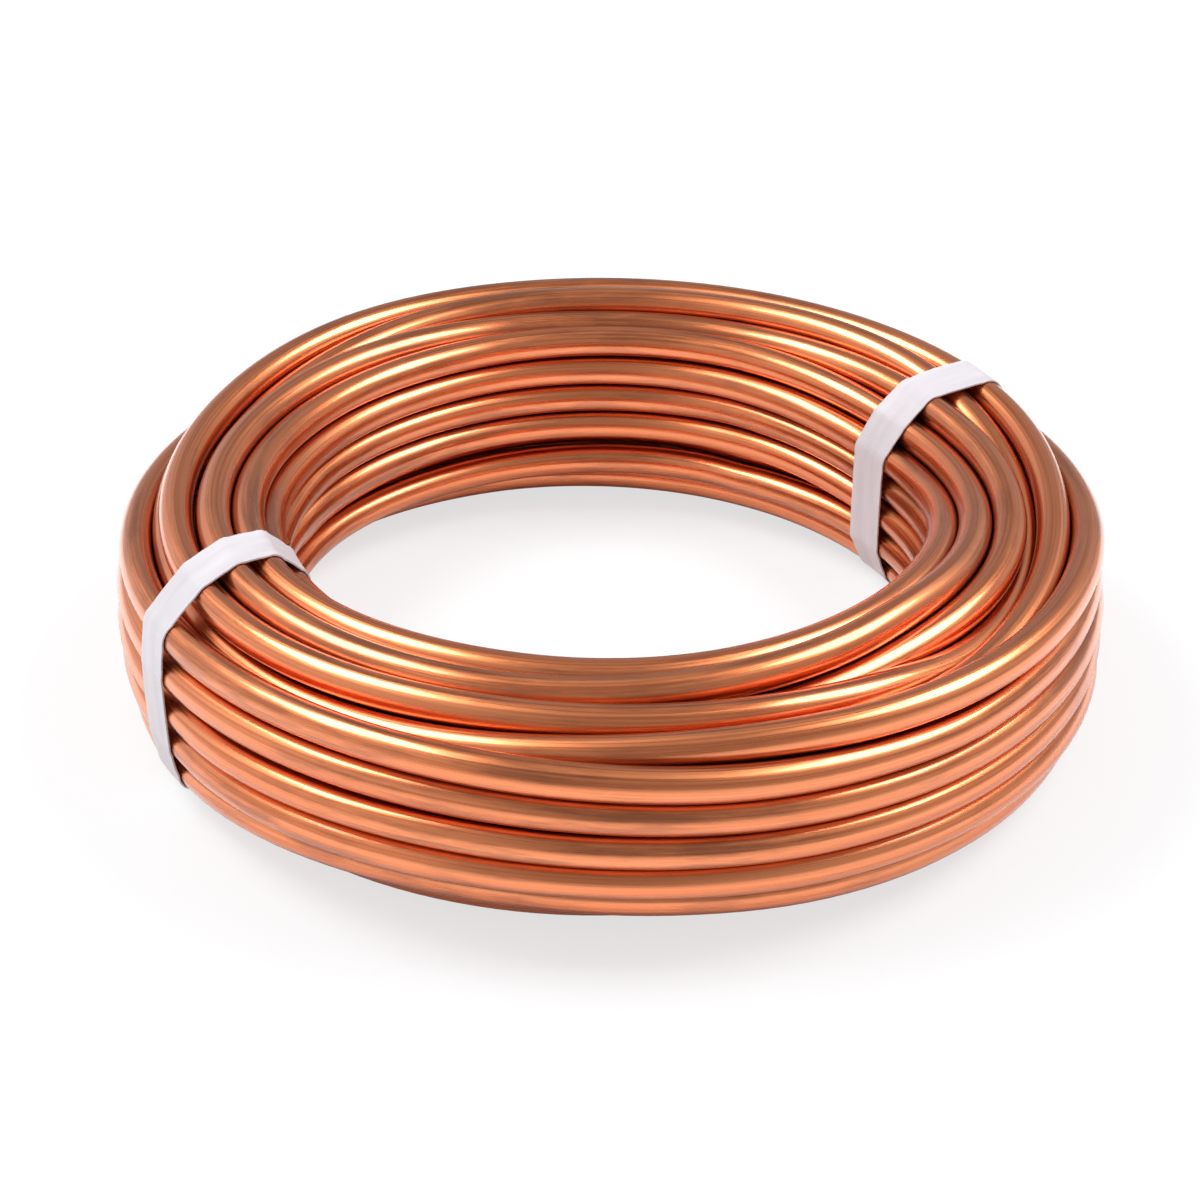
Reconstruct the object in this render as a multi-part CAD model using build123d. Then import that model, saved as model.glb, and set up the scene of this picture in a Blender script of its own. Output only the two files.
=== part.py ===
from build123d import *
import os
from math import atan2, degrees, hypot, sqrt

# Coil of soft copper tube, lying flat, held by two flat plastic straps.
# The coil axis is Z and the floor is z = 0. Lengths are millimetres, angles are degrees from +X.

# Tube
tube_od = 10.0
tube_wall = 0.7

# Winding: round turns in upright layers, counted from the bore outwards and set about the same height.
# A layer with one turn more or less than the last lies half a turn off it, against its valleys.
coil_bore = 192.4
turn_gap = 0.55
layer_gap = 1.0
turns_per_layer = (6, 7, 7, 6, 5)
valley_fill = 1.2

# Ends of the tube: how far round each lies, and how much of it comes away from the winding
outer_end_angle = 80.0
inner_end_angle = 345.0
tail_length = 25.0
free_length = 50.0
inner_bore_depth = 25.0
cut_overrun = 1.0

# Straps
strap_width = 15.0
strap_thickness = 0.5
strap_clearance = 0.1
lap_length = 20.0
left_strap_angle = 207.0
right_strap_angle = 28.5

# Sizes that follow
tube_radius = tube_od / 2
tube_bore_radius = tube_radius - tube_wall
turn_pitch = tube_od + turn_gap
layer_pitch = tube_od + layer_gap
winding_height = tube_od + (max(turns_per_layer) - 1) * turn_pitch
middle_height = strap_thickness + strap_clearance + winding_height / 2
first_layer_radius = coil_bore / 2 + tube_radius
neighbour_reach = hypot(layer_pitch, turn_pitch / 2) + turn_gap
full_circle = 360.0


def layer_centres(layer):
    """Centres (radius, height) of one layer's turns, from the lowest up."""
    radius = first_layer_radius + layer * layer_pitch
    count = turns_per_layer[layer]
    lowest = middle_height - (count - 1) / 2 * turn_pitch
    return [(radius, lowest + turn * turn_pitch) for turn in range(count)]


layers = [layer_centres(layer) for layer in range(len(turns_per_layer))]
inner_end_turn = layers[0][0]
outer_end_turn = layers[-1][-1]
all_turns = [centre for layer in layers for centre in layer]
full_turns = [centre for centre in all_turns if centre not in (inner_end_turn, outer_end_turn)]


def neighbours(centre):
    """Full turns that lie against the turn at this centre."""
    return [b for b in full_turns if 0 < hypot(b[0] - centre[0], b[1] - centre[1]) < neighbour_reach]


def web(a, b):
    """Strip along the line between two neighbouring turns, which closes the valley between them."""
    middle = Pos((a[0] + b[0]) / 2, (a[1] + b[1]) / 2)
    lean = degrees(atan2(b[1] - a[1], b[0] - a[0]))
    return middle * Rot(0, 0, lean) * Rectangle(turn_pitch, 2 * valley_fill)


def winding_section():
    """Section of the turns that run the whole way round: scalloped outside, closed inside."""
    discs = [Pos(*centre) * Circle(tube_radius) for centre in full_turns]
    webs = [web(a, b) for a in full_turns for b in neighbours(a) if a < b]
    joined = Sketch() + (discs + webs)
    return Face(joined.face().outer_wire())


def swept_round(section, from_angle, to_angle):
    """Turn a (radius, height) section about the coil axis between two angles."""
    upright = Rot(0, 0, min(from_angle, to_angle)) * (Plane.XZ * section)
    return revolve(upright, axis=Axis.Z, revolution_arc=abs(to_angle - from_angle))


def end_turn(centre, open_angle, way):
    """First or last turn, from its open end round to the right strap, which covers where it tucks in.

    Seen from above the tube runs counter-clockwise from its open end where way is 1, clockwise
    where it is -1. It beds on its neighbours, except along the free length at the open end.
    """
    tucked_angle = open_angle + way * (way * (right_strap_angle - open_angle) % full_circle)
    bed_angle = open_angle + way * degrees(free_length / centre[0])
    dots = [Pos(*place) * Circle(valley_fill) for place in [centre] + neighbours(centre)]
    bed = make_hull([dot.edge() for dot in dots])
    tube = swept_round(Pos(*centre) * Circle(tube_radius), open_angle, tucked_angle)
    return tube + swept_round(bed, bed_angle, tucked_angle)


def tube_coil():
    """The whole tube as one turned solid, with its two open ends."""
    coil = swept_round(winding_section(), 0, full_circle)
    coil += end_turn(outer_end_turn, outer_end_angle, way=1)
    coil += end_turn(inner_end_turn, inner_end_angle, way=-1)

    # The outer end runs out straight along its tangent, and its bore starts where the tail does
    radius, height = outer_end_turn
    tail = Plane(Rot(0, 0, outer_end_angle) * Location((radius, 0, height), (90, 0, 0)))
    coil += extrude(tail * Circle(tube_radius), tail_length)
    coil -= extrude(tail * Circle(tube_bore_radius), tail_length + cut_overrun)

    # The inner end stays curved against the bore of the coil
    radius = inner_end_turn[0]
    bore = Pos(*inner_end_turn) * Circle(tube_bore_radius)
    mouth_angle = inner_end_angle + degrees(cut_overrun / radius)
    coil -= swept_round(bore, inner_end_angle - degrees(inner_bore_depth / radius), mouth_angle)
    return coil


def strap_loop(angle, lap_on_outside):
    """Flat band pulled tight round the winding, closed by a welded lap on its straight run."""
    half_width = strap_width / 2
    inside_radius = tube_radius + strap_clearance
    crests = []
    for radius, height in all_turns:
        crests += [(radius, height), (sqrt(radius ** 2 - half_width ** 2), height)]
    inside = make_hull([(Pos(*crest) * Circle(inside_radius)).edge() for crest in crests])
    outside_radius = inside_radius + strap_thickness
    outside = make_hull([(Pos(*crest) * Circle(outside_radius)).edge() for crest in crests])
    band = extrude(Plane.XZ * (outside - inside), half_width, both=True)

    # The lap starts in the middle of the band's thickness and adds one more thickness outside it
    lap_thickness = strap_thickness * 3 / 2
    lap_stand_off = inside_radius + strap_thickness / 2 + lap_thickness / 2
    if lap_on_outside:
        run = layers[-1]
        lap_radius = run[0][0] + lap_stand_off
    else:
        run = layers[0]
        lap_radius = sqrt(run[0][0] ** 2 - half_width ** 2) - lap_stand_off
    lap_height = (run[0][1] + run[-1][1]) / 2
    band += Pos(lap_radius, 0, lap_height) * Box(lap_thickness, strap_width, lap_length)
    return Rot(0, 0, angle) * band


parts = {
    "tube_coil": tube_coil(),
    "left_strap": strap_loop(left_strap_angle, lap_on_outside=False),
    "right_strap": strap_loop(right_strap_angle, lap_on_outside=True),
}

os.makedirs("parts", exist_ok=True)
for name, solid in parts.items():
    export_step(solid, f"parts/{name}.step")
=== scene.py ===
import bpy
import numpy as np
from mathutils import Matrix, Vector
from mathutils.geometry import convex_hull_2d


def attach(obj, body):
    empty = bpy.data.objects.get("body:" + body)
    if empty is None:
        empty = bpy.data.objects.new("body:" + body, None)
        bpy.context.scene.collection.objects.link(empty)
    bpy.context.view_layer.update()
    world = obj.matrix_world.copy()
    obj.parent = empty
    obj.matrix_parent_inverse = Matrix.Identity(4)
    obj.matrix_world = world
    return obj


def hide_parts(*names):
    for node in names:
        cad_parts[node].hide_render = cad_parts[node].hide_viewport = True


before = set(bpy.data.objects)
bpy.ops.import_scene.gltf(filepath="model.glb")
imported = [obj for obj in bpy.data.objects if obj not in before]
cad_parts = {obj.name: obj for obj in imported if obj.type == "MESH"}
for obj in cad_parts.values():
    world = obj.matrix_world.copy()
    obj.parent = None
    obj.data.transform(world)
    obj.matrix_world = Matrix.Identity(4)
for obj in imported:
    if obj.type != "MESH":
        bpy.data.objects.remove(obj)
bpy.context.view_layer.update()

# The tube: one length of soft annealed copper, 10 mm outside by 0.7 mm wall, drawn bright.
# It is wound clockwise round the coil's axis in five upright layers, up one and down the next, and
# each turn climbs one place while it passes the front. All lengths of the winding are millimetres.
mm = 0.001
tube_radius = 5.0
bore_radius = 4.3
bore_depth = 45.0
tail_length = 25.0
steps = 144
start_angle = 345.0
end_angle = 80.0
outer_end = (145.2, 58.35)
layers = (
    # radius, first height, last height, turns
    (102.3, 5.2, 64.0, 7),
    (112.5, 66.0, 12.0, 5),
    (122.7, 5.2, 45.5, 5),
    (132.0, 60.0, 8.0, 6),
    (142.6, 18.0, 62.5, 6),
)
places = [np.column_stack((np.full(n, r), np.linspace(low, high, n))) for r, low, high, n in layers]
places = np.concatenate(places)
turns = len(places) - 1
angles = start_angle - 360.0 / steps * np.arange(steps)
last_step = round((start_angle - end_angle) / 360.0 * steps)
wound = np.ones((turns, steps), bool)
wound[-1, last_step + 1:] = False

# Each turn keeps its place in the stack, and moves on to the next one between these two angles
climb_start = 338.0
climb_end = 212.0
climb = np.clip((climb_start - angles) / (climb_start - climb_end), 0.0, 1.0)
climb = (climb * climb * (3.0 - 2.0 * climb))[None, :, None]
line = places[:-1, None] * (1.0 - climb) + places[1:, None] * climb

# Turns that show keep to where they lie at a few angles, and those inside give way to them.
# Each has its angle, radius and height. First the top, from the outer end inwards.
shown = {
    27: [(345, 142.0, 61.2), (325, 142.6, 61.6), (304, 143.4, 62.2), (285, 138.5, 61.5), (270, 133.2, 60.0),
         (245, 130.5, 54.5), (220, 127.0, 53.0), (207, 125.2, 52.3), (175, 130.0, 56.0), (150, 136.5, 59.5),
         (120, 143.5, 58.5), (80, 145.2, 58.35)],
    18: [(345, 134.0, 45.0), (304, 132.8, 45.0)],
    17: [(345, 133.6, 57.0), (304, 134.6, 57.2), (285, 133.0, 53.2), (270, 131.3, 50.2), (245, 128.5, 44.5),
         (207, 120.5, 44.0)],
    16: [(345, 126.5, 50.5), (335, 126.5, 51.0), (320, 127.5, 55.5), (304, 125.3, 62.3), (270, 123.5, 63.3),
         (242, 123.8, 63.0), (220, 125.5, 61.6), (207, 126.3, 60.8), (165, 127.0, 65.0), (130, 129.0, 68.5),
         (65, 129.0, 69.0), (28, 134.0, 66.0)],
    15: [(345, 119.0, 41.0), (335, 119.0, 41.0), (304, 121.5, 45.5), (285, 121.5, 49.0), (270, 119.8, 53.0),
         (245, 117.0, 53.6), (207, 115.0, 54.8), (165, 118.5, 60.0), (150, 118.5, 64.5), (130, 119.5, 68.5),
         (65, 119.5, 69.0), (28, 124.6, 67.2)],
    7: [(345, 122.5, 61.3), (335, 122.3, 61.0), (320, 120.5, 59.0), (304, 118.0, 56.3), (285, 114.0, 55.2),
        (270, 110.0, 54.5), (245, 108.0, 50.0), (207, 106.0, 45.5), (65, 114.5, 51.5), (28, 119.0, 50.5),
        (0, 117.0, 51.0)],
    6: [(345, 113.0, 62.7), (335, 113.0, 63.2), (320, 112.5, 64.5), (304, 111.8, 64.7), (270, 113.3, 64.5),
        (242, 113.8, 64.0), (220, 116.2, 65.0), (207, 117.4, 65.2), (165, 113.0, 65.0), (130, 113.0, 66.0),
        (65, 113.0, 66.0), (28, 115.6, 61.8)],
    5: [(345, 103.2, 62.0), (335, 103.0, 62.5), (304, 102.0, 63.2), (270, 103.4, 62.5), (242, 103.8, 62.0),
        (220, 106.5, 63.8), (207, 107.8, 64.6), (165, 103.5, 62.5), (130, 104.5, 63.0), (65, 104.5, 63.0),
        (28, 109.2, 54.4)],
}

# The outer wall, five turns one on another from the top down: the top one's place, the distance
# between turns, and how far the lowest tucks in. The wall bulges a little half way down. Last the
# turn that stands behind it.
wall = ((345, 144.0, 50.5, 10.2, 1.0), (304, 143.5, 52.3, 10.2, 2.5), (285, 143.2, 55.6, 10.2, 4.0),
        (270, 142.8, 59.3, 10.2, 4.5), (242, 139.4, 60.2, 10.3, 4.0), (220, 135.8, 56.2, 10.7, 0.8),
        (211, 134.6, 53.6, 10.7, 0.6), (203, 136.6, 52.8, 10.7, 0.6), (180, 140.0, 53.0, 10.6, 0.6),
        (150, 142.0, 50.0, 10.2, 0.6), (120, 143.5, 48.2, 10.1, 0.6), (60, 143.5, 48.2, 10.1, 0.6))
for below, bulge in enumerate((0.0, 1.5, 1.9, 1.4, 0.0)):
    shown[26 - below] = [
        (angle, radius + bulge, height - pitch * below) for angle, radius, height, pitch, _ in wall]
tuck_rise_share = 0.4
shown[22] = [
    (angle, radius - tuck, height - 4.0 * pitch + tuck_rise_share * tuck)
    for angle, radius, height, pitch, tuck in wall]
shown[21] = [(285, 130.0, 12.0), (242, 129.0, 12.0), (207, 125.5, 6.5)]

# The inner wall at the back, from the floor up
shown[0] = [(165, 118.5, 11.0), (150, 117.0, 12.0), (130, 115.0, 11.5), (110, 110.0, 11.5),
            (100, 107.5, 11.5), (80, 106.0, 11.0), (28, 106.0, 10.5)]
shown[1] = [(165, 110.5, 16.5), (150, 109.0, 17.3), (130, 104.5, 17.5), (100, 101.5, 19.5),
            (50, 101.5, 19.5), (28, 102.8, 17.0)]
shown[10] = [(165, 109.0, 26.5), (150, 108.5, 27.0), (130, 108.3, 27.4), (100, 110.5, 27.0),
             (45, 111.5, 26.5)]
shown[11] = [(165, 125.0, 8.5), (130, 124.5, 8.5), (95, 124.0, 5.2)]
for above in range(3):
    shown[2 + above] = [(150, 101.2, 34.5 + 9.95 * above), (50, 101.2, 34.0 + 9.95 * above),
                        (28, 102.0 + 1.4 * above, 26.3 + 9.75 * above)]
shown[4] += [(345, 102.4, 48.5), (304, 101.9, 51.5), (207, 99.2, 58.3)]

# Two hidden turns that stand under the top at the front right
shown[19] = [(345, 133.0, 34.8), (304, 133.0, 34.0)]
shown[20] = [(345, 132.5, 24.6), (304, 132.5, 24.0)]

# A turn ends where the next one starts
for turn in range(1, turns):
    for angle, radius, height in shown.get(turn, []):
        if angle == start_angle:
            shown.setdefault(turn - 1, []).append((start_angle - 360.0, radius, height))

# A turn is drawn to its marks between the first and the last of them, and less and less past those
drawn_past = 45.0
firm_past = 30.0
firmness = 5.0
firm = np.ones((turns, steps))
for turn, marks in shown.items():
    at, *wanted = np.array(sorted(marks)).T
    reach = np.concatenate(([at[0] - drawn_past], at, [at[-1] + drawn_past]))
    for axis in (0, 1):
        here = np.interp(at, angles[::-1], line[turn, ::-1, axis])
        line[turn, :, axis] += np.interp(angles, reach, np.pad(wanted[axis] - here, 1))
    edges = (at[0] - firm_past, at[0], at[-1], at[-1] + firm_past)
    firm[turn] = np.interp(angles, edges, (1.0, firmness, firmness, 1.0))

# Soft tube never lies quite true: a slow waver, different in every turn
least_waver = 0.1
most_waver = 0.3
rng = np.random.default_rng(11)
along = np.arange(turns * steps) / steps * 2.0 * np.pi
for wave in (1.7, 2.9, 4.3):
    size = rng.uniform(least_waver, most_waver, (turns, 2)).repeat(steps, axis=0)
    phase = rng.uniform(0.0, 2.0 * np.pi, (1, 2))
    line += (size * np.sin(wave * along[:, None] + phase)).reshape(line.shape)

# The stack stays within these limits, which the left strap draws in
strap_pull_angle = 211.0
strap_pull_spread = 22.0
pull_outside = 6.4
pull_inside = 2.3
room_for_strap = 0.9
drawn_in = np.exp(-((angles - strap_pull_angle) / strap_pull_spread) ** 2)
outermost = 145.4 - pull_outside * drawn_in
innermost = 100.3 - pull_inside * drawn_in
lowest = tube_radius + room_for_strap
highest = 69.2
slack = 0.02
push_share = 0.7
far_away = 99.0
yields = firm[None] / (firm[:, None] + firm[None])


def eased(path, reach):
    """Even out a path along the tube, as its stiffness does."""
    flat = path.reshape(-1, 2)[:turns * steps - steps + last_step + 1]
    padded = np.pad(flat, ((reach, reach), (0, 0)), mode="edge")
    kernel = np.hanning(2 * reach + 3)[1:-1]
    kernel /= kernel.sum()
    smooth = np.column_stack([np.convolve(padded[:, axis], kernel, mode="valid") for axis in (0, 1)])
    out = path.reshape(-1, 2).copy()
    out[:len(smooth)] = smooth
    return out.reshape(path.shape)


def pushed_apart(path):
    """Move turns that would share the same space apart, and keep them all within the stack."""
    gap = path[:, None] - path[None]
    distance = np.sqrt((gap ** 2).sum(-1)) + np.eye(turns)[:, :, None] * far_away
    near = np.clip(2.0 * tube_radius + slack - distance, 0.0, None) * wound[:, None] * wound[None]
    path = path + push_share * (gap * (yields * near / distance)[..., None]).sum(1)
    path[..., 0] = np.clip(path[..., 0], innermost, outermost)
    path[..., 1] = np.clip(path[..., 1], lowest, highest)
    return path


# The turns settle in three rounds, each with its tries, the pull towards their line, and how many
# steps of the tube are evened out together
line = eased(line, 7)
path = line.copy()
hidden_pull_share = 0.25
last_tries = 80
end_steps = 4
held = np.where(firm > 2.0, 1.0, hidden_pull_share)[..., None]
for tries, pull, reach in ((150, 0.12, 5), (150, 0.06, 4), (100, 0.02, 2)):
    for _ in range(tries):
        path += pull * held * (line - path)
        path = eased(path, reach)
        for _ in range(3):
            path = pushed_apart(path)
        path[-1, last_step - end_steps:last_step + 1] = outer_end
for _ in range(last_tries):
    path = pushed_apart(path)
path = eased(path, 1)

# The centre line, with the outer end running out straight along its tangent
flat = path.reshape(-1, 2)[:(turns - 1) * steps + last_step + 1]
theta = np.radians(start_angle - 360.0 / steps * np.arange(len(flat)))
centre = np.column_stack((flat[:, 0] * np.cos(theta), flat[:, 0] * np.sin(theta), flat[:, 1]))
tangent = np.array((np.sin(theta[-1]), -np.cos(theta[-1]), 0.0))
tail = np.linspace(0.0, tail_length, 6)[1:, None]
centre = np.concatenate((centre, centre[-1] + tail * tangent))

# Rings of the sleeve: up the bore to the inner mouth, along the outside, and down the bore again.
# The seam of its pattern faces the middle of the winding's section, given as radius and height.
sides = 20
middle = np.array((122.0, 36.0))
seam_reach = 20
seam_span = 2 * seam_reach + 1
ahead = np.gradient(centre, axis=0)
ahead /= np.linalg.norm(ahead, axis=1)[:, None]
side = np.cross(ahead, (0.0, 0.0, 1.0))
side /= np.linalg.norm(side, axis=1)[:, None]
rise = np.cross(side, ahead)
inward = middle - np.column_stack((np.hypot(centre[:, 0], centre[:, 1]), centre[:, 2]))
outside = np.sign(np.einsum("ij,ij->i", side, centre * (1.0, 1.0, 0.0)).mean())
seam = np.unwrap(np.arctan2(inward[:, 1], outside * inward[:, 0]))
seam = np.convolve(np.pad(seam, seam_reach, mode="edge"), np.ones(seam_span) / seam_span, mode="valid")
length = np.concatenate(([0.0], np.cumsum(np.linalg.norm(np.diff(centre, axis=0), axis=1))))
mouth_start = np.arange(int(np.searchsorted(length, bore_depth)))
mouth_end = np.arange(int(np.searchsorted(length, length[-1] - bore_depth)), len(centre))
order = np.concatenate((mouth_start[::-1], np.arange(len(centre)), mouth_end[::-1]))
radii = np.repeat((bore_radius, tube_radius, bore_radius), (len(mouth_start), len(centre), len(mouth_end)))
around = seam[order, None] + np.linspace(0.0, 2.0 * np.pi, sides, endpoint=False)
rings = (np.cos(around)[..., None] * side[order, None] + np.sin(around)[..., None] * rise[order, None])
rings = centre[order, None] + radii[:, None, None] * rings
row, column = np.meshgrid(np.arange(len(order) - 1), np.arange(sides), indexing="ij")
following = (column + 1) % sides
quads = np.stack((row * sides + column, row * sides + following,
                  (row + 1) * sides + following, (row + 1) * sides + column), axis=-1).reshape(-1, 4)
caps = [list(range(sides))[::-1], list(range((len(order) - 1) * sides, len(order) * sides))]
mesh = bpy.data.meshes.new("wound_tube")
mesh.from_pydata((rings.reshape(-1, 3) * mm).tolist(), [], quads.tolist() + caps)
ring_length = length[order] * mm
girth = 2.0 * np.pi * tube_radius * mm / sides
across = np.stack((column, column + 1, column + 1, column), axis=-1) * girth
down = np.stack((ring_length[row], ring_length[row], ring_length[row + 1], ring_length[row + 1]), axis=-1)
tube_uv = np.concatenate((np.stack((down, across), axis=-1).reshape(-1, 2), np.zeros((2 * sides, 2))))
mesh.uv_layers.new(name="along_and_round").data.foreach_set("uv", tube_uv.ravel())

# How far each point of the outside lies down in a valley between two turns, from 0 to 1. The copper's colour
# is painted darker by it, as painted shade in the valleys.
valley_width = 1.3
turn_of, step_of = np.divmod(np.arange(len(flat)), steps)
outside_rows = slice(len(mouth_start), len(mouth_start) + len(flat))
wall_points = rings[outside_rows]
wall_points = np.stack((np.hypot(wall_points[..., 0], wall_points[..., 1]), wall_points[..., 2]), axis=-1)
away = np.linalg.norm(wall_points[None] - path[:, step_of, None], axis=-1)
away[~wound[:, step_of]] = far_away
away[turn_of, np.arange(len(flat))] = far_away
valley = np.zeros((len(order), sides))
valley[outside_rows] = np.clip(1.0 - (away.min(axis=0) - tube_radius) / valley_width, 0.0, 1.0)
mesh.attributes.new("valley", "FLOAT", "POINT").data.foreach_set("value", valley.ravel())
sharp_from = np.radians(50.0)
mesh.shade_smooth()
mesh.set_sharp_from_angle(angle=sharp_from)
tube = bpy.data.objects.new("wound_tube", mesh)
bpy.context.collection.objects.link(tube)


def linear(code):
    """Linear RGBA of an sRGB hex colour."""
    parts = [int(code[i:i + 2], 16) / 255.0 for i in (1, 3, 5)]
    return [p / 12.92 if p <= 0.04045 else ((p + 0.055) / 1.055) ** 2.4 for p in parts] + [1.0]


def add(tree, kind, links=(), **settings):
    """Add a node: links are (input, output socket) pairs, settings are its properties and inputs."""
    node = tree.nodes.new(kind)
    for name, value in settings.items():
        if name in node.bl_rna.properties:
            setattr(node, name, value)
        else:
            node.inputs[name.replace("_", " ")].default_value = value
    for name, socket in links:
        tree.links.new(socket, node.inputs[name])
    return node


def grain(tree, uv, run, gap, **settings):
    """Noise drawn out along a piece, with features about run by gap, in metres."""
    drawn_out = add(tree, "ShaderNodeMapping", [("Vector", uv.outputs[0])], Scale=(1 / run, 1 / gap, 1.0))
    links = [("Vector", drawn_out.outputs[0])]
    return add(tree, "ShaderNodeTexNoise", links, noise_dimensions="2D", Scale=1.0, **settings)


# Bright drawn copper: satin from the die, with fine lines along the tube, thin brown oxide where it
# has been handled, and painted shade, a near black brown, down in the valleys between turns. A clear film
# makes the highlights paler.
# Lines are 0.8 mm apart and less, coarser than real ones so that they show.
copper = bpy.data.materials.new("drawn_copper")
copper.use_nodes = True
tree = copper.node_tree
tree.nodes.clear()
uv = add(tree, "ShaderNodeUVMap", uv_map="along_and_round")
lines = grain(tree, uv, 0.120, 0.0008, Detail=3.0)
smudges = grain(tree, uv, 0.030, 0.0035, Detail=4.0, Roughness=0.6)
patches = grain(tree, uv, 0.16, 0.02, Detail=2.0)
both = add(tree, "ShaderNodeMath", [(0, smudges.outputs[0]), (1, patches.outputs[0])], operation="MULTIPLY")
oxide = add(tree, "ShaderNodeMapRange", [("Value", both.outputs[0])], From_Min=0.25, From_Max=0.4, To_Max=0.5)
streaks = add(tree, "ShaderNodeMapRange", [("Value", lines.outputs[0])], From_Min=0.35, From_Max=0.7)
metal = add(tree, "ShaderNodeMix", [("Factor", streaks.outputs[0])], data_type="RGBA")
metal.inputs[6].default_value = linear("#E67F4A")
metal.inputs[7].default_value = linear("#F29460")
worn = add(tree, "ShaderNodeMix", [("Factor", oxide.outputs[0]), (6, metal.outputs[2])], data_type="RGBA")
worn.inputs[7].default_value = linear("#84462A")
# Painted shade: the deeper a point lies in a valley between turns, the more near black brown #35150A is mixed
# into its colour, up to 0.65
hollow = add(tree, "ShaderNodeAttribute", attribute_name="valley")
painted_valley_shade = add(tree, "ShaderNodeMapRange", [("Value", hollow.outputs["Fac"])], To_Max=0.65)
copper_with_painted_shade = add(tree, "ShaderNodeMix", [("Factor", painted_valley_shade.outputs[0]), (6, worn.outputs[2])], data_type="RGBA")
copper_with_painted_shade.inputs[7].default_value = linear("#35150A")
satin = add(tree, "ShaderNodeMapRange", [("Value", lines.outputs[0])],
            From_Min=0.3, From_Max=0.7, To_Min=0.24, To_Max=0.36)
grooves = add(tree, "ShaderNodeBump", [("Height", lines.outputs[0])], Strength=0.12, Distance=0.0002)
shader = add(tree, "ShaderNodeBsdfPrincipled", [
    ("Base Color", copper_with_painted_shade.outputs[2]), ("Roughness", satin.outputs[0]), ("Normal", grooves.outputs[0])],
             Metallic=1.0, Coat_Weight=0.9, Coat_Roughness=0.12)
add(tree, "ShaderNodeOutputMaterial", [("Surface", shader.outputs[0])])
tube.data.materials.append(copper)
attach(tube, "root")
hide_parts("tube_coil")

# Two flat straps of translucent polypropylene, 15 mm by 0.5 mm, pulled tight round the winding.
# Each runs straight from crest to crest, and its ends are welded in a lap on the side that is hidden.
# Lengths are millimetres. The left one is skewed, and the lap's middle is given as radius and height.
strap_angles = {"left_strap": 207.0, "right_strap": 28.5}
strap_width = 15.0
strap_thickness = 0.5
lap_length = 20.0
lap_rise = 4.0
strap_gap = 0.3
strap_length = 205.0
strap_bend = 7.5
station_step = 1.5
points_across = 9
lap_middle = {"left_strap": (94.0, 37.0), "right_strap": (152.0, 37.0)}
strap_skew = {"left_strap": 0.24, "right_strap": 0.0}
strap_lean = {"left_strap": 0.06, "right_strap": 0.0}

# Milky plastic, pale and half dull, with a fine diamond emboss and faint haze along the strap
strap_plastic = bpy.data.materials.new("polypropylene_strapping")
strap_plastic.use_nodes = True
tree = strap_plastic.node_tree
tree.nodes.clear()
uv = add(tree, "ShaderNodeUVMap", uv_map="along_and_across")
diamond = 0.0012
weave = add(tree, "ShaderNodeMapping", [("Vector", uv.outputs[0])], Scale=(1 / diamond, 1 / diamond, 1.0),
            Rotation=(0.0, 0.0, np.radians(45.0)))
emboss = add(tree, "ShaderNodeTexVoronoi", [("Vector", weave.outputs[0])],
             voronoi_dimensions="2D", Randomness=0.15, Scale=1.0)
haze = grain(tree, uv, 0.03, 0.004, Detail=3.0)
tone = add(tree, "ShaderNodeMix", [("Factor", haze.outputs[0])], data_type="RGBA")
tone.inputs[6].default_value = linear("#C4BCC0")
tone.inputs[7].default_value = linear("#DAD3D6")
dimples = add(tree, "ShaderNodeBump", [("Height", emboss.outputs[0])], Strength=0.25, Distance=0.0002)
shader = add(tree, "ShaderNodeBsdfPrincipled", [
    ("Base Color", tone.outputs[2]), ("Normal", dimples.outputs[0])], Roughness=0.45, IOR=1.49)
add(tree, "ShaderNodeOutputMaterial", [("Surface", shader.outputs[0])])


def swerve(offset, skew, lean, radius, height):
    """Sideways distance from the strap's middle line over its own place on the winding."""
    return offset + skew * (radius - middle[0]) + lean * (middle[1] - height)


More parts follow.
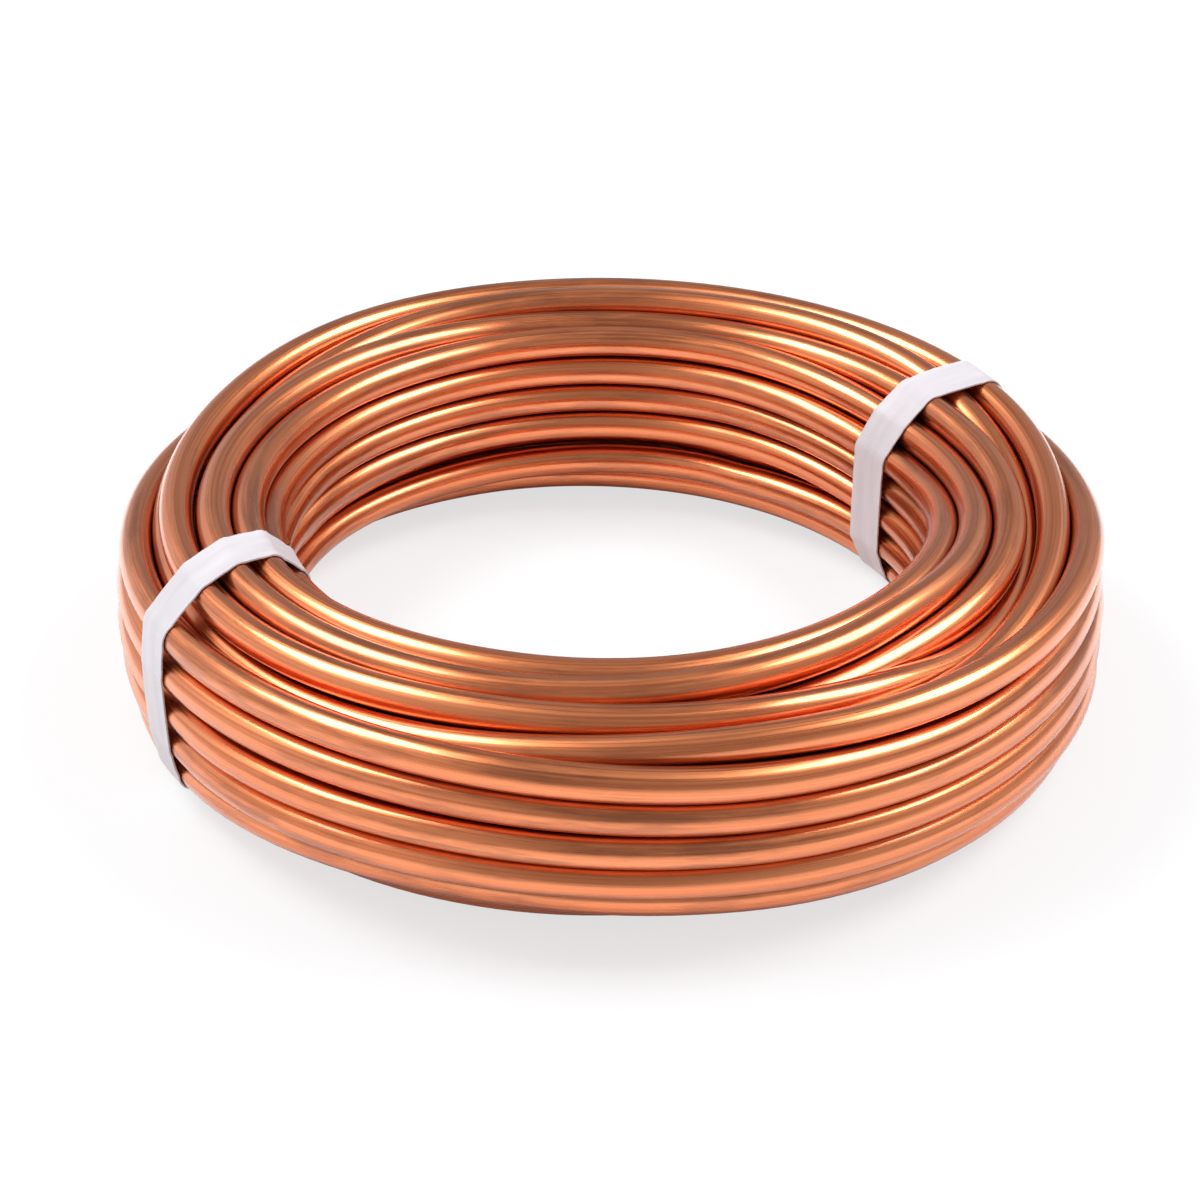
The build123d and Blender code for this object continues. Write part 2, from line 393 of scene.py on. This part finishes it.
def tight_round(angle, offset, skew, lean, lap, shares):
    """Where one edge of a band pulled tight round the turns lies, with its outward directions.

    The places lie at these shares of the way round from the lap. The band is stiff, so it bends a
    little before and after each crest, but it stays off the tube.
    """
    crests = []
    for turn in range(turns):
        radius, height = middle
        for _ in range(3):
            at = angle + np.degrees(swerve(offset, skew, lean, radius, height) / radius)
            radius, height = [np.interp(at, angles[::-1], path[turn, ::-1, axis]) for axis in (0, 1)]
        if turn < turns - 1 or at > end_angle:
            crests.append((radius, height))
    crests = np.array(crests)
    corners = crests[convex_hull_2d([Vector(crest) for crest in crests])]
    if np.cross(corners[1] - corners[0], corners[2] - corners[1]) < 0:
        corners = corners[::-1]
    loop = []
    for before, corner, after in zip(np.roll(corners, 1, axis=0), corners, np.roll(corners, -1, axis=0)):
        first = np.arctan2(before[0] - corner[0], corner[1] - before[1])
        turn_by = (np.arctan2(corner[0] - after[0], after[1] - corner[1]) - first) % (2.0 * np.pi)
        for bearing in first + turn_by * np.linspace(0.0, 1.0, 2 + int(turn_by / arc_step)):
            outward = np.array((np.cos(bearing), np.sin(bearing)))
            loop.append((*(corner + inside * outward), *outward))
    loop = np.array(loop)
    loop = np.roll(loop, -np.argmin(np.linalg.norm(loop[:, :2] - lap, axis=1)), axis=0)
    loop = np.vstack((loop, loop[:1]))
    run = np.concatenate(([0.0], np.cumsum(np.linalg.norm(np.diff(loop[:, :2], axis=0), axis=1))))
    lay = np.zeros((len(shares), 4))
    for shift, weight in zip(bend_shifts, bend_weights):
        at = (shares * run[-1] + shift) % run[-1]
        lay += weight * np.column_stack([np.interp(at, run, loop[:, column]) for column in range(4)])
    nearest = np.linalg.norm(lay[:, None, :2] - crests[None], axis=-1).min(axis=1)
    lay[:, :2] += np.clip(inside - nearest, 0.0, None)[:, None] * lay[:, 2:]
    return lay[:, None, :2], lay[:, None, 2:]


inside = tube_radius + strap_gap
arc_step = 0.12
bend_shifts = np.linspace(-strap_bend, strap_bend, 11)
bend_weights = np.hanning(len(bend_shifts) + 2)[1:-1] / 6.0
across = np.linspace(-strap_width / 2, strap_width / 2, points_across)
skin = np.repeat((0.0, strap_thickness), points_across)[None, :, None]
offset = np.concatenate((across, across[::-1]))
share_across = (offset / strap_width + 0.5)[None, :, None]
count = len(offset)
for name, strap_angle in strap_angles.items():
    stations = np.arange(-lap_length / 2, strap_length + lap_length / 2 + 0.1, station_step)
    shares = stations / strap_length
    skew, lean = strap_skew[name], strap_lean[name]
    one_edge, one_way = tight_round(strap_angle, across[0], skew, lean, lap_middle[name], shares)
    other_edge, other_way = tight_round(strap_angle, across[-1], skew, lean, lap_middle[name], shares)
    outwards = one_way * (1.0 - share_across) + other_way * share_across
    over_lap = np.clip((stations - strap_length + lap_length / 2 + lap_rise) / lap_rise, 0.0, 1.0)
    lift = strap_thickness * 1.1 * over_lap
    lay = one_edge * (1.0 - share_across) + other_edge * share_across
    lay = lay + (skin + lift[:, None, None]) * outwards
    heading = np.radians(strap_angle)
    aside = swerve(offset, skew, lean, lay[..., 0], lay[..., 1])
    ahead = np.sqrt(lay[..., 0] ** 2 - aside ** 2)
    rings = np.stack((ahead * np.cos(heading) - aside * np.sin(heading),
                      ahead * np.sin(heading) + aside * np.cos(heading), lay[..., 1]), axis=-1)
    row, column = np.meshgrid(np.arange(len(stations) - 1), np.arange(count), indexing="ij")
    following = (column + 1) % count
    faces = np.stack((row * count + column, row * count + following,
                      (row + 1) * count + following, (row + 1) * count + column), axis=-1)
    faces = faces.reshape(-1, 4).tolist()
    along = np.stack((stations[row], stations[row], stations[row + 1], stations[row + 1]), axis=-1)
    aside = np.stack((offset[column], offset[following], offset[following], offset[column]), axis=-1)
    strap_uv = np.stack((along, aside), axis=-1).reshape(-1, 2) * mm
    strap_uv = np.concatenate((strap_uv, np.zeros((2 * count, 2))))
    faces += [tuple(range(count))[::-1], tuple(range((len(stations) - 1) * count, len(stations) * count))]
    mesh = bpy.data.meshes.new(name + "_band")
    mesh.from_pydata((rings.reshape(-1, 3) * mm).tolist(), [], faces)
    mesh.uv_layers.new(name="along_and_across").data.foreach_set("uv", strap_uv.ravel())
    mesh.shade_smooth()
    mesh.set_sharp_from_angle(angle=sharp_from)
    mesh.materials.append(strap_plastic)
    band = bpy.data.objects.new(name + "_band", mesh)
    bpy.context.collection.objects.link(band)
    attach(band, "root")
    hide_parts(name)

# The studio: a white floor that fills the view, and two large soft boxes above, left and right.
floor_side = 4.0
floor_back = 6.0
corners = [(-floor_side, -floor_side, 0.0), (floor_side, -floor_side, 0.0),
           (floor_side, floor_back, 0.0), (-floor_side, floor_back, 0.0)]
mesh = bpy.data.meshes.new("floor")
mesh.from_pydata(corners, [], [(0, 1, 2, 3)])
floor = bpy.data.objects.new("floor", mesh)
bpy.context.collection.objects.link(floor)

# White paper that keeps the coil's soft shadow. To the camera it also glows, so that it shows white.
paper = bpy.data.materials.new("white_studio_paper")
paper.use_nodes = True
tree = paper.node_tree
tree.nodes.clear()
sheet = add(tree, "ShaderNodeBsdfDiffuse", Color=linear("#F4F4F4"))
glow = add(tree, "ShaderNodeEmission", Color=(1.0, 1.0, 1.0, 1.0), Strength=1.0)
ray = add(tree, "ShaderNodeLightPath")
most = add(tree, "ShaderNodeMath", [(0, ray.outputs["Is Camera Ray"])], operation="MULTIPLY")
most.inputs[1].default_value = 0.7
surface = add(tree, "ShaderNodeMixShader", [
    (0, most.outputs[0]), (1, sheet.outputs[0]), (2, glow.outputs[0])])
add(tree, "ShaderNodeOutputMaterial", [("Surface", surface.outputs[0])])
floor.data.materials.append(paper)

# The room is lighter to the left and right than in front and behind
world = bpy.data.worlds.new("studio")
bpy.context.scene.world = world
world.use_nodes = True
tree = world.node_tree
backdrop = tree.nodes["Background"]
backdrop.inputs["Color"].default_value = (1.0, 1.0, 1.0, 1.0)
heading = add(tree, "ShaderNodeTexCoord")
direction = add(tree, "ShaderNodeSeparateXYZ", [("Vector", heading.outputs["Generated"])])
sideways = add(tree, "ShaderNodeMapRange", [("Value", direction.outputs["X"])], From_Min=-1.0, From_Max=1.0)
walls = add(tree, "ShaderNodeValToRGB", [("Fac", sideways.outputs[0])])
for stop, level in ((0.1, 0.8), (0.4, 0.34), (0.6, 0.34), (0.95, 0.5)):
    mark = walls.color_ramp.elements.new(stop)
    mark.color = (level, level, level, 1.0)
walls.color_ramp.elements.remove(walls.color_ramp.elements[0])
walls.color_ramp.elements.remove(walls.color_ramp.elements[-1])
tree.links.new(walls.outputs[0], backdrop.inputs["Strength"])

box_size = (0.85, 0.72)
box_colour = (0.93, 0.97, 1.0)
box_aim = Vector((0.0, 0.0, 0.04))
for name, place, power in (("left_soft_box", (-0.86, 0.14, 1.32), 18.0),
                           ("right_soft_box", (0.97, 0.12, 1.24), 17.0)):
    lamp = bpy.data.lights.new(name, "AREA")
    lamp.shape = "RECTANGLE"
    lamp.size, lamp.size_y = box_size
    lamp.energy = power
    lamp.color = box_colour
    holder = bpy.data.objects.new(name, lamp)
    holder.location = place
    holder.rotation_euler = (box_aim - Vector(place)).to_track_quat("-Z", "Y").to_euler()
    bpy.context.collection.objects.link(holder)

# The camera stands in front and looks down by as much as in the photograph.
look_down = 30.5
lens = bpy.data.cameras.new("camera")
lens.lens = 78.9
lens.sensor_width = 36.0
lens.shift_x = -0.0022
lens.shift_y = -0.0308
camera = bpy.data.objects.new("camera", lens)
camera.location = (0.0, -0.6896, 0.4442)
camera.rotation_euler = (np.radians(90.0 - look_down), 0.0, 0.0)
bpy.context.collection.objects.link(camera)
bpy.context.scene.camera = camera
bpy.context.scene.view_settings.view_transform = "Standard"
